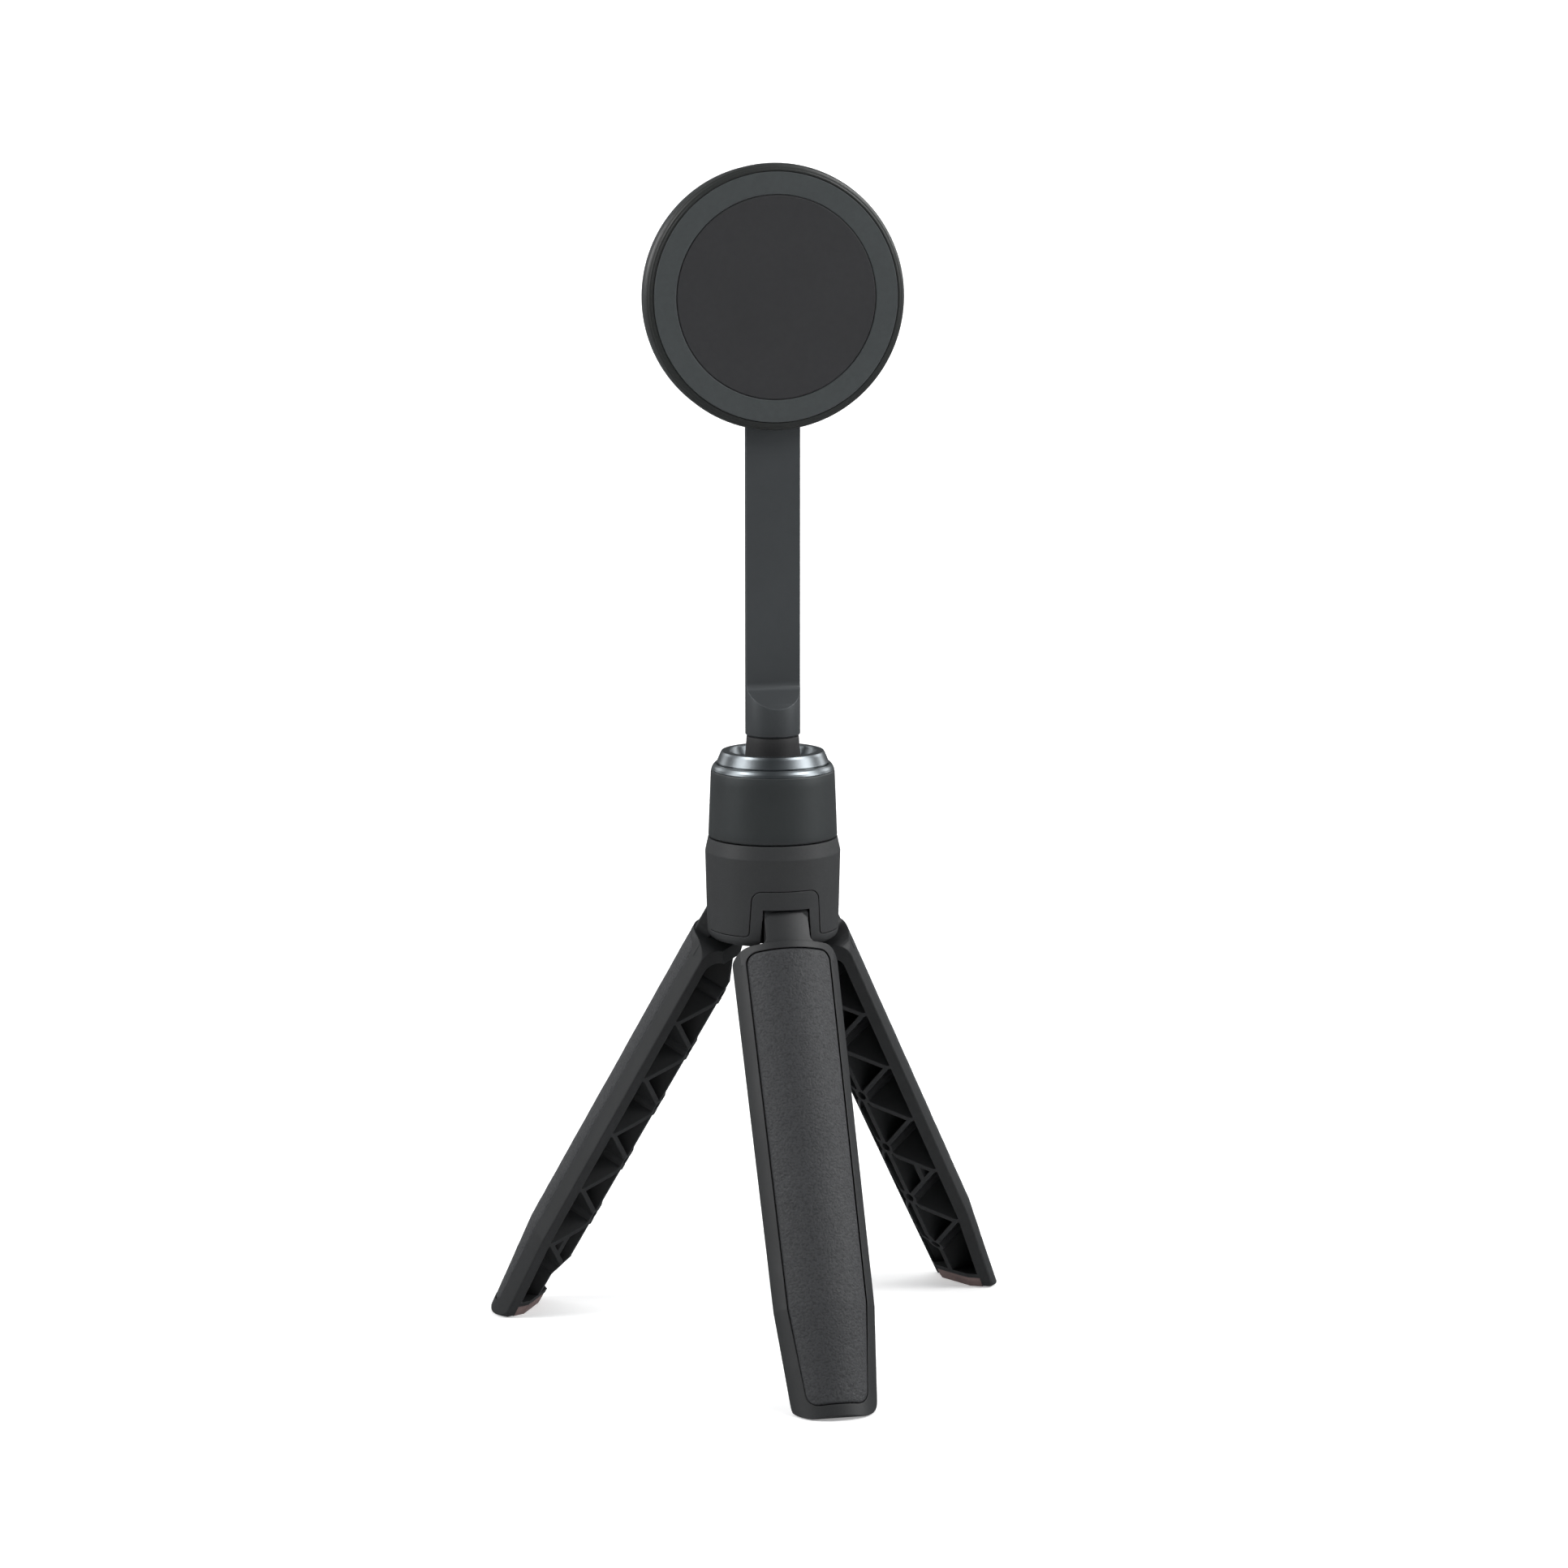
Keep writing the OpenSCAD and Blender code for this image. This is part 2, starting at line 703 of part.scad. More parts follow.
module back_housing() color("#37393a") at_head() difference() {
    union() {
        difference() {
            rotate_extrude() polygon(rounded([
                [0, back_d, 0],
                [head_r - 0.5, back_d, 3.2],
                [head_r, seat_d - 1.4, 0.6],
                [head_r - 0.25, seat_d - 0.2, 0],
                [0, seat_d - 0.2, 0]
            ]));
            translate([0, 0, back_d + wall_t]) cylinder(r = housing_in, h = far);
        }
        // Walls and floor of the arm's channel
        intersection() {
            translate([0, 0, back_d + 0.5]) cylinder(r = head_r - 1, h = support_d - back_d - 0.5);
            translate([-channel_half - channel_wall, -far, -far])
                cube([2 * (channel_half + channel_wall), far + channel_up + channel_wall, 2 * far]);
        }
        // A round rib under the magnets' shield, and bosses for the bracket's screws
        translate([0, 0, back_d + 0.5]) tube(support_r, support_r - support_t, support_d - back_d - 0.5);
        at_small_screws() translate([0, 0, back_d + 0.5])
            cylinder(r = small_boss_r, h = support_d - back_d - 0.5);
    }
    channel_cut();
    at_small_screws() translate([0, 0, shield_d - small_screw_len]) cylinder(r = small_screw_r, h = far);
    translate([0, 0, -pivot_y]) x_rod(head_pin_r + 0.1, channel_half + 2);
}

module front_bezel() color("#2e3031") at_head() rotate_extrude() polygon([
    [0, seat_d - plate_t],
    [housing_in - 0.1, seat_d - plate_t],
    [housing_in - 0.1, seat_d - 0.15],
    [head_r - 0.25, seat_d - 0.15],
    [head_r - 0.3, seat_d + 0.05],
    [head_r - 0.75, seat_d + 0.3],
    [head_r - 0.8, bezel_d - 0.15],
    [head_r - 1.3, bezel_d - 0.1],
    [head_r - 1.35, bezel_d],
    [ring_r + 0.12, bezel_d],
    [ring_r + 0.12, seat_d],
    [0, seat_d]
]);

module ring_cover() color("#454c4e") at_head() rotate_extrude() polygon([
    [disc_r + 0.1, seat_d],
    [ring_r, seat_d],
    [ring_r, face_d - 0.12],
    [ring_r - 0.12, face_d],
    [disc_r + 0.28, face_d],
    [disc_r + 0.1, face_d - 0.18]
]);

module front_disc() color("#393b3b") at_head() rotate_extrude() polygon([
    [0, seat_d],
    [disc_r, seat_d],
    [disc_r, face_d - 0.2],
    [disc_r - 0.2, face_d],
    [0, face_d]
]);

// One slice of a ring that covers the angle span
module ring_slice(r_out, r_in, h, span) difference() {
    intersection() {
        cylinder(r = r_out, h = h);
        rotate(-span / 2) cube([far, far, h]);
        rotate(span / 2 - 90) cube([far, far, h]);
    }
    translate([0, 0, -1]) cylinder(r = r_in, h = h + 2);
}

module magnet_ring() color("silver") at_head() translate([0, 0, seat_d - plate_t - magnet_t])
    for (i = [0 : magnets - 1]) rotate((i + 0.5) * 360 / magnets)
        ring_slice(ring_r - 0.6, disc_r + 0.5, magnet_t, 360 / magnets - magnet_gap);

module shield_plate() color("gray") at_head() translate([0, 0, shield_d])
    tube(ring_r - 0.5, disc_r - 0.4, shield_t);

module hinge_bracket() color("silver") at_head() difference() {
    union() {
        translate([-bracket_x, -bracket_y, shield_d]) cube([2 * bracket_x, 2 * bracket_y, bracket_t]);
        for (side = [0, 1]) mirror([side, 0, 0]) {
            translate([ear_x, -ear_half, -pivot_y]) cube([ear_t, 2 * ear_half, shield_d + pivot_y + eps]);
            translate([ear_x + ear_t / 2, 0, -pivot_y]) x_rod(ear_r, ear_t / 2);
        }
    }
    at_small_screws() translate([0, 0, shield_d - 1])
        cylinder(r = small_screw_r + 0.05, h = 1 + bracket_t + eps);
    at_small_screws() translate([0, 0, shield_d + bracket_t - small_head_h])
        cylinder(r1 = small_screw_r + 0.05, r2 = small_head_r + 0.05, h = small_head_h + eps);
    translate([0, 0, -pivot_y]) x_rod(head_pin_r, far / 2);
}

module bracket_screws() color("silver") at_head() at_small_screws() difference() {
    union() {
        translate([0, 0, shield_d + bracket_t - small_head_h])
            cylinder(r1 = small_screw_r, r2 = small_head_r, h = small_head_h);
        translate([0, 0, shield_d - small_screw_len + 0.2]) cylinder(r = small_screw_r, h = small_screw_len);
    }
    translate([0, 0, shield_d + 0.3]) cylinder(r = 0.7, h = far, $fn = 6);
}

module head_pin() color("silver") on_column(head_z) translate([0, pivot_y, 0])
    x_rod(head_pin_r, ear_x + ear_t);

hub_shell();
hub_frame();
bottom_cover();
hub_screw();
hinge_pins();
socket_body();
seat_ring();
cup_spring();
clamp_barrel();
trim_ring();
ball_cup();
ball_stud();
swivel_clip();
swivel_washer();
arm_bar();
pivot_washers();
back_housing();
front_bezel();
ring_cover();
front_disc();
magnet_ring();
shield_plate();
hinge_bracket();
bracket_screws();
head_pin();
front_leg_frame();
front_leg_pad();
front_leg_foot();
right_leg_frame();
right_leg_pad();
right_leg_foot();
left_leg_frame();
left_leg_pad();
left_leg_foot();
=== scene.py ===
"""Looks of a magnetic phone holder on a folding table tripod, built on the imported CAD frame."""

import math

import bmesh
import bpy
from mathutils import Matrix, Vector, noise


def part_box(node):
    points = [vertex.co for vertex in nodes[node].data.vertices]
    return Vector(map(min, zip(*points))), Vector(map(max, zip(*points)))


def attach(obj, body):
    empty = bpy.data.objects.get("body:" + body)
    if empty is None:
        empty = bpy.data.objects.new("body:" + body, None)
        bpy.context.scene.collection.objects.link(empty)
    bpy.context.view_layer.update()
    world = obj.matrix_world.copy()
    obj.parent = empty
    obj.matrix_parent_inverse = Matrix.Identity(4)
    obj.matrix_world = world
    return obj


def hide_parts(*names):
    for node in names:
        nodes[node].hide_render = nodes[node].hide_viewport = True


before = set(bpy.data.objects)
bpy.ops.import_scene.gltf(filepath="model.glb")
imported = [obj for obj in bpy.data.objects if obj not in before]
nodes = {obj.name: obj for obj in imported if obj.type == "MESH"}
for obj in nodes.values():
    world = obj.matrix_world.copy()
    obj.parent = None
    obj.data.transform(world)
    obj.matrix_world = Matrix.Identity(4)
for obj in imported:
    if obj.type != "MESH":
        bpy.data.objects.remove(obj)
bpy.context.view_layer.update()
scene = bpy.context.scene

MM = 0.001

# ---------- camera ----------

# Degrees the camera looks down, and degrees it stands to the object's left
CAMERA_DOWN = 9.368
CAMERA_LEFT = 12.514

cam_data = bpy.data.cameras.new("camera")
cam_data.sensor_width = 36.0
cam_data.lens = 95.97
cam_data.clip_start = 0.05
cam_data.clip_end = 30.0
camera = bpy.data.objects.new("camera", cam_data)
camera.location = (-0.20555, -0.92315, 0.29027)
camera.rotation_euler = (math.radians(90.0 - CAMERA_DOWN), 0.0, math.radians(-CAMERA_LEFT))
scene.collection.objects.link(camera)
scene.camera = camera


# ---------- node helpers ----------


class Nodes:
    """A short way to write a node material."""

    def __init__(self, name):
        self.mat = bpy.data.materials.new(name)
        self.mat.use_nodes = True
        self.tree = self.mat.node_tree
        self.tree.nodes.clear()
        self.out = self.tree.nodes.new("ShaderNodeOutputMaterial")
        self.bsdf = self.tree.nodes.new("ShaderNodeBsdfPrincipled")
        self.tree.links.new(self.bsdf.outputs["BSDF"], self.out.inputs["Surface"])
        self.coords = self.tree.nodes.new("ShaderNodeTexCoord").outputs["Object"]

    def add(self, kind, inputs=None, **settings):
        n = self.tree.nodes.new(kind)
        for key, value in settings.items():
            setattr(n, key, value)
        for key, value in (inputs or {}).items():
            if isinstance(value, bpy.types.NodeSocket):
                self.tree.links.new(value, n.inputs[key])
            else:
                n.inputs[key].default_value = value
        return n

    def stretched(self, scale):
        """Object coordinates, scaled along X, Y and Z."""
        return self.add("ShaderNodeMapping", {"Vector": self.coords, "Scale": scale}).outputs["Vector"]

    def noise(self, size, detail=3.0, rough=0.5, vector=None):
        """Noise whose blobs are about size metres across."""
        return self.add(
            "ShaderNodeTexNoise",
            {"Vector": vector or self.coords, "Scale": 1.0 / size, "Detail": detail, "Roughness": rough},
        ).outputs["Fac"]

    def cells(self, size, feature="F1", smooth=None, vector=None, randomness=1.0):
        inputs = {"Vector": vector or self.coords, "Scale": 1.0 / size, "Randomness": randomness}
        if smooth is not None:
            inputs["Smoothness"] = smooth
        return self.add("ShaderNodeTexVoronoi", inputs, feature=feature).outputs["Distance"]

    def span(self, value, low, high, to_low, to_high, kind="LINEAR"):
        return self.add(
            "ShaderNodeMapRange",
            {"Value": value, "From Min": low, "From Max": high, "To Min": to_low, "To Max": to_high},
            interpolation_type=kind,
        ).outputs["Result"]

    def math(self, op, a, b=0.0):
        return self.add("ShaderNodeMath", {0: a, 1: b}, operation=op).outputs["Value"]

    def mix(self, fac, a, b):
        n = self.add("ShaderNodeMix", data_type="RGBA")
        for socket, value in ((0, fac), (6, a), (7, b)):
            if isinstance(value, bpy.types.NodeSocket):
                self.tree.links.new(value, n.inputs[socket])
            else:
                n.inputs[socket].default_value = value
        return n.outputs[2]

    def bump(self, height, distance, strength=1.0, normal=None):
        inputs = {"Height": height, "Distance": distance, "Strength": strength}
        if normal is not None:
            inputs["Normal"] = normal
        return self.add("ShaderNodeBump", inputs).outputs["Normal"]

    def rounded(self, radius):
        """A normal that turns smoothly over an edge, as a moulded or tumbled edge does."""
        return self.add("ShaderNodeBevel", {"Radius": radius}, samples=4).outputs["Normal"]

    def edge_wear_and_highlight_mask(self, radius=0.0004):
        """1 close to an edge, 0 elsewhere: how far a rounded normal turns away from the true one. It places
        both edge wear and a painted edge highlight.
        """
        flat = self.add("ShaderNodeNewGeometry").outputs["Normal"]
        dot = self.add("ShaderNodeVectorMath", {0: self.rounded(radius), 1: flat}, operation="DOT_PRODUCT")
        return self.span(dot.outputs["Value"], 0.9, 0.998, 1.0, 0.0)

    def set(self, **sockets):
        names = {
            "color": "Base Color",
            "rough": "Roughness",
            "metal": "Metallic",
            "normal": "Normal",
            "specular": "Specular IOR Level",
            "sheen": "Sheen Weight",
            "sheen_rough": "Sheen Roughness",
            "subsurface": "Subsurface Weight",
        }
        for key, value in sockets.items():
            socket = self.bsdf.inputs[names[key]]
            if isinstance(value, bpy.types.NodeSocket):
                self.tree.links.new(value, socket)
            else:
                socket.default_value = value
        return self.mat


def rgb(r, g, b):
    """An sRGB colour of 0 to 255 as linear RGBA."""
    def linear(c):
        c /= 255.0
        return c / 12.92 if c <= 0.04045 else ((c + 0.055) / 1.055) ** 2.4

    return (linear(r), linear(g), linear(b), 1.0)


def shade(color, factor):
    return (color[0] * factor, color[1] * factor, color[2] * factor, 1.0)


# ---------- materials ----------


# How far a plastic's roughness wanders to both sides, from handling
SHINE_SPREAD = 0.08


def moulded_plastic(name, color, grain=0.00045, depth=0.00001, rough=0.5, specular=0.45):
    """Moulded plastic with a fine spark-eroded grain, faint flow marks and handled, shinier patches."""
    m = Nodes(name)
    fine = m.noise(grain, 4.0, 0.6)
    spark = m.cells(grain * 0.8, "SMOOTH_F1", 0.4)
    broad = m.noise(0.018, 3.0)
    flow = m.noise(0.012, 2.0, vector=m.stretched((1.0, 1.0, 0.25)))
    tone = m.math("ADD", m.math("MULTIPLY", broad, 0.6), m.math("MULTIPLY", flow, 0.4))
    col = m.mix(m.span(tone, 0.35, 0.65, 0.0, 1.0), shade(color, 0.9), shade(color, 1.1))
    col = m.mix(m.span(fine, 0.35, 0.7, 0.0, 0.35), col, shade(color, 1.25))
    # Edges lightened up to 1.7 times: partly wear, partly a painted highlight where the edges catch the
    # light
    col = m.mix(m.math("MULTIPLY", m.edge_wear_and_highlight_mask(), 0.3), col, shade(color, 1.7))
    shine = m.math("ADD", broad, m.math("MULTIPLY", fine, 0.4))
    roughness = m.span(shine, 0.4, 1.0, rough + SHINE_SPREAD, rough - SHINE_SPREAD)
    height = m.math("ADD", m.math("MULTIPLY", fine, 0.6), m.math("MULTIPLY", spark, 0.4))
    normal = m.bump(height, depth, 0.8, m.rounded(0.0003))
    return m.set(color=col, rough=roughness, specular=specular, normal=normal)


def soft_touch(name, color):
    """Silicone skin: dull, velvety, with a very fine even grain and specks of dust."""
    m = Nodes(name)
    fine = m.noise(0.00022, 3.0, 0.7)
    broad = m.noise(0.02, 2.0)
    mottle = m.noise(0.0011, 3.0, 0.6)
    dust = m.cells(0.0035, "F1")
    col = m.mix(m.span(broad, 0.3, 0.7, 0.0, 1.0), shade(color, 0.93), shade(color, 1.07))
    col = m.mix(m.span(mottle, 0.35, 0.65, 0.4, 0.0), col, shade(color, 0.8))
    col = m.mix(m.span(fine, 0.4, 0.75, 0.0, 0.4), col, shade(color, 1.3))
    col = m.mix(m.span(dust, 0.0, 0.02, 0.35, 0.0), col, shade(color, 2.5))
    return m.set(
        color=col,
        rough=m.span(fine, 0.3, 0.7, 0.62, 0.74),
        specular=0.35,
        sheen=0.06,
        sheen_rough=0.4,
        normal=m.bump(fine, 0.000006, 0.7),
    )


def anodised(name, color, rough=0.36, metal=0.75, grain=0.00016, depth=0.000003, lines=None, edge_wear_and_highlight=0.35):
    """Bead-blasted and anodised aluminium, worn pale at its edges and lightened there by a painted
    highlight, with turning lines of depth lines.
    """
    m = Nodes(name)
    fine = m.noise(grain, 3.0, 0.65)
    broad = m.noise(0.03, 3.0)
    smudge = m.noise(0.007, 4.0, 0.6)
    col = m.mix(m.span(broad, 0.3, 0.7, 0.0, 1.0), shade(color, 0.94), shade(color, 1.06))
    col = m.mix(m.span(fine, 0.45, 0.75, 0.0, 0.35), col, shade(color, 1.3))
    # Edges lightened up to 2 times: edge wear together with a painted edge highlight
    col = m.mix(m.math("MULTIPLY", m.edge_wear_and_highlight_mask(), edge_wear_and_highlight), col, shade(color, 2.0))
    shine = m.math("ADD", smudge, m.math("MULTIPLY", fine, 0.5))
    roughness = m.span(shine, 0.5, 1.0, rough - 0.04, rough + 0.06)
    normal = m.bump(fine, depth, 0.8, m.rounded(0.00012))
    if lines:
        turned = m.noise(0.00012, 2.0, 0.5, vector=m.stretched((0.02, 0.02, 1.0)))
        normal = m.bump(turned, lines, 0.7, normal)
    return m.set(color=col, rough=roughness, metal=metal, normal=normal)


def steel(name, color, rough=0.3):
    """Bright steel with fine drawn scratches."""
    m = Nodes(name)
    scratches = m.noise(0.00015, 3.0, 0.6, vector=m.stretched((0.1, 1.0, 1.0)))
    blotch = m.noise(0.002, 3.0)
    col = m.mix(m.span(blotch, 0.35, 0.65, 0.0, 1.0), shade(color, 0.82), shade(color, 1.08))
    return m.set(
        color=col,
        rough=m.span(scratches, 0.35, 0.65, rough - 0.08, rough + 0.14),
        metal=1.0,
        normal=m.bump(scratches, 0.000004, 0.6),
    )


def nylon(name, color):
    """Natural nylon, a little mottled and translucent."""
    m = Nodes(name)
    mottled = m.noise(0.0015, 4.0)
    fine = m.noise(0.00025, 2.0)
    col = m.mix(m.span(mottled, 0.35, 0.65, 0.0, 1.0), shade(color, 0.86), color)
    roughness = m.span(fine, 0.3, 0.7, 0.38, 0.52)
    return m.set(color=col, rough=roughness, subsurface=0.1, normal=m.bump(fine, 0.00001, 0.5))


def leather(name, color):
    """Pebbled leather: a dense grain of small pits and fine cross wrinkles, both darkened by painted shade
    in their hollows, with rubbed streaks and dust.
    """
    m = Nodes(name)
    warp = m.add("ShaderNodeTexNoise", {"Vector": m.coords, "Scale": 1.0 / 0.0022, "Detail": 2.0})
    bend = {0: 0.0008, 4: m.coords, 5: warp.outputs["Color"]}
    bent = m.add("ShaderNodeMix", bend, data_type="VECTOR").outputs[1]
    grain = m.noise(0.0005, 2.0, 0.45, vector=bent)
    pit_painted_shade = m.span(grain, 0.38, 0.5, 1.0, 0.0, "SMOOTHSTEP")
    cross = m.add("ShaderNodeMapping", {"Vector": bent, "Scale": (0.6, 0.9, 1.5)}).outputs["Vector"]
    wrinkle = m.noise(0.0006, 3.0, 0.55, vector=cross)
    streak = m.noise(0.0006, 3.0, 0.55, vector=m.stretched((1.0, 0.3, 0.12)))
    broad = m.noise(0.012, 3.0)
    fine = m.noise(0.00014, 3.0, 0.6)
    dust = m.math("ADD", m.cells(0.0019, "F1"), m.math("MULTIPLY", grain, 0.12))
    col = m.mix(m.span(broad, 0.3, 0.7, 0.0, 1.0), shade(color, 0.95), shade(color, 1.05))
    # Painted shade: the wrinkles' creases, low in the bump height, darkened to 0.74
    col = m.mix(m.span(wrinkle, 0.36, 0.6, 0.4, 0.0), col, shade(color, 0.74))
    col = m.mix(m.span(streak, 0.55, 0.78, 0.0, 0.3), col, shade(color, 1.4))
    # Painted shade: the grain's pits, the low points of its bump, darkened to 0.45
    col = m.mix(m.math("MULTIPLY", pit_painted_shade, 0.6), col, shade(color, 0.45))
    col = m.mix(m.span(dust, 0.08, 0.13, 0.3, 0.0), col, shade(color, 2.4))
    height = m.math("ADD", m.math("MULTIPLY", wrinkle, 0.3), m.math("MULTIPLY", grain, 1.0))
    normal = m.bump(height, 0.00021, 0.85)
    normal = m.bump(fine, 0.000015, 0.5, normal)
    roughness = m.span(wrinkle, 0.35, 0.65, 0.66, 0.52)
    return m.set(color=col, rough=roughness, specular=0.35, sheen=0.04, sheen_rough=0.5, normal=normal)


def rubber(name, color):
    """Dull rubber with faint scuffs."""
    m = Nodes(name)
    fine = m.noise(0.0003, 3.0, 0.6)
    broad = m.noise(0.003, 3.0)
    scuff = m.noise(0.0009, 5.0, 0.7, vector=m.stretched((1.0, 1.0, 3.0)))
    col = m.mix(m.span(broad, 0.3, 0.7, 0.0, 1.0), shade(color, 0.85), shade(color, 1.12))
    col = m.mix(m.span(scuff, 0.55, 0.75, 0.0, 0.5), col, shade(color, 0.6))
    normal = m.bump(fine, 0.00002, 0.7, m.rounded(0.0002))
    return m.set(color=col, rough=m.span(fine, 0.3, 0.7, 0.7, 0.85), specular=0.3, normal=normal)


finishes = {
    "hub_plastic": moulded_plastic("hub_plastic", rgb(46, 47, 48), rough=0.52, specular=0.35),
    "frame_plastic": moulded_plastic("frame_plastic", rgb(46, 47, 48), rough=0.52, specular=0.35),
    "leg_plastic": moulded_plastic("leg_plastic", rgb(38, 39, 40), rough=0.5, grain=0.0004, specular=0.35),
    "neck_plastic": moulded_plastic("neck_plastic", rgb(40, 40, 41), rough=0.62, specular=0.35),
    "head_plastic": moulded_plastic("head_plastic", rgb(42, 44, 44), rough=0.42, depth=0.000004),
    "bezel_plastic": moulded_plastic("bezel_plastic", rgb(38, 40, 39), rough=0.4, depth=0.000004),
    "ring_grey": soft_touch("ring_grey", rgb(57, 61, 62)),
    "disc_dark": soft_touch("disc_dark", rgb(43, 43, 45)),
    # The arm's edges get the strongest lightening, a painted edge highlight as well as wear
    "arm_metal": anodised("arm_metal", rgb(66, 69, 71), rough=0.42, metal=0.35, edge_wear_and_highlight=0.7),
    "barrel_metal": anodised("barrel_metal", rgb(58, 61, 62), rough=0.48, metal=0.5, lines=0.000002),
    "trim_metal": anodised(
        "trim_metal", rgb(112, 117, 120), rough=0.33, metal=1.0, grain=0.0001, depth=0.000001, lines=0.000001
    ),
    "socket_metal": anodised("socket_metal", rgb(140, 143, 146), rough=0.35, metal=0.9, lines=0.000004),
    "steel": steel("steel", rgb(188, 190, 192)),
    "magnet": steel("magnet", rgb(170, 170, 166), rough=0.22),
    "nylon": nylon("nylon", rgb(214, 213, 205)),
    "washer": rubber("washer", rgb(40, 41, 42)),
    "leather": leather("leather", rgb(50, 51, 53)),
    "sole": rubber("sole", rgb(104, 88, 86)),
}

node_finish = {
    "hub_shell": "hub_plastic",
    "hub_frame": "frame_plastic",
    "bottom_cover": "frame_plastic",
    "hub_screw": "steel",
    "hinge_pins": "steel",
    "socket_body": "socket_metal",
    "seat_ring": "neck_plastic",
    "cup_spring": "steel",
    "clamp_barrel": "barrel_metal",
    "trim_ring": "trim_metal",
    "ball_cup": "nylon",
    "ball_stud": "neck_plastic",
    "swivel_clip": "steel",
    "swivel_washer": "washer",
    "arm_bar": "arm_metal",
    "pivot_washers": "washer",
    "back_housing": "head_plastic",
    "front_bezel": "bezel_plastic",
    "ring_cover": "ring_grey",
    "front_disc": "disc_dark",
    "magnet_ring": "magnet",
    "shield_plate": "steel",
    "hinge_bracket": "steel",
    "bracket_screws": "steel",
    "head_pin": "steel",
}
for leg in ("front", "right", "left"):
    node_finish[leg + "_leg_frame"] = "leg_plastic"
    node_finish[leg + "_leg_pad"] = "leather"
    node_finish[leg + "_leg_foot"] = "sole"

# How far each node's edges are rounded, in metres
edge_round = {
    "clamp_barrel": 0.15 * MM,
    "ball_stud": 0.1 * MM,
    "arm_bar": 0.25 * MM,
    "back_housing": 0.25 * MM,
    "front_bezel": 0.12 * MM,
    "ring_cover": 0.08 * MM,
    "front_disc": 0.08 * MM,
}


def soften(obj, width):
    """Rounded edges on a plain turned or milled node, as moulding and tumbling leave them."""
    weld = obj.modifiers.new("weld", "WELD")
    weld.merge_threshold = 0.000002
    bevel = obj.modifiers.new("bevel", "BEVEL")
    bevel.width = width
    bevel.segments = 3
    bevel.limit_method = "ANGLE"
    bevel.angle_limit = math.radians(32)
    bevel.use_clamp_overlap = True
    bevel.harden_normals = False
    bevel.miter_outer = "MITER_ARC"


for name, obj in nodes.items():
    for material_slot in obj.material_slots:
        material_slot.material = finishes[node_finish[name]]
    if name in edge_round:
        soften(obj, edge_round[name])

# ---------- leather pads ----------

# The leg's measures in the CAD, in millimetres: s runs down the leg from its hinge
HINGE_R = 11.6
LEG_OPEN = math.radians(30)
LEG_TURN = math.radians(120)
ARC_V = 1.63
TOP_S, KINK_S, FOOT_S = 7.5, 92.4, 117.7
HALF_WIDTHS = (12.6, 11.8, 9.7)
COLUMN = Vector((0.0, 15.1, 0.0))
# The pad's distance from the leg's sides, top and foot, the radii of its corners, and its thickness
PAD_SIDE, PAD_TOP, PAD_END = 2.82, 1.82, 2.82
CORNER_TOP, CORNER_END = 2.3, 2.9
PAD_T = 1.1
PAD_BACK = -PAD_T + 0.02
# The pad's grid step, and a typical half width that turns millimetres into a share of it
STEP = 0.34
TYPICAL_HALF = 9.5


def arc_radius(half):
    """Radius of the leg's round outside where its half width is half."""
    return math.hypot(half, half / math.tan(LEG_TURN / 2) - ARC_V)


def between(s, values):
    """A value along the leg, given at the shoulders, at the bend and at the foot."""
    a, b, c = values
    if s < KINK_S:
        return a + (b - a) * (s - TOP_S) / (KINK_S - TOP_S)
    return b + (c - b) * (s - KINK_S) / (FOOT_S - KINK_S)


def leg_point(x, s, v_from_surface, turn, hinge_z):
    """A point on a leg's round outside, s below the hinge, in the row frame in metres."""
    r = between(s, [arc_radius(w) for w in HALF_WIDTHS]) + v_from_surface
    v = ARC_V + math.sqrt(max(r * r - x * x, 0.0))
    p = Vector((x, -(v - HINGE_R), -s))
    p.rotate(Matrix.Rotation(-LEG_OPEN, 3, "X"))
    p += Vector((0.0, -HINGE_R, hinge_z))
    p.rotate(Matrix.Rotation(LEG_TURN * turn, 3, "Z"))
    return (p + COLUMN) * MM


def spaced(low, high, step, edge):
    """Stations from low to high, closer together near both ends."""
    inner = [0.0, 0.1, 0.22, 0.38, 0.6, 0.9, 1.25, 1.65, 2.1, 2.6]
    ends = [e for e in inner if e < edge]
    count = max(2, round((high - low - 2 * edge) / step))
    middle = [low + edge + (high - low - 2 * edge) * i / count for i in range(count + 1)]
    return [low + e for e in ends] + middle + [high - e for e in reversed(ends)]


def pad_half(s, top, end):
    """Half the pad's width at s, narrower towards its rounded corners."""
    half = between(s, HALF_WIDTHS) - PAD_SIDE
    for edge_s, corner in ((s - top, CORNER_TOP), (end - s, CORNER_END)):
        if edge_s < corner:
            half -= corner - math.sqrt(max(corner**2 - (corner - edge_s) ** 2, 0.0))
    return half


def pad_columns():
    """Stations across the pad from -1 to 1, closer together at both sides."""
    sides = [1.0 - e / TYPICAL_HALF for e in (0.0, 0.1, 0.22, 0.4, 0.65, 1.0)]
    middle = [c for c in spaced(-1.0, 1.0, STEP / TYPICAL_HALF, 0.0) if abs(c) < 1.0 - 1.25 / TYPICAL_HALF]
    return [-c for c in sides] + middle + list(reversed(sides))


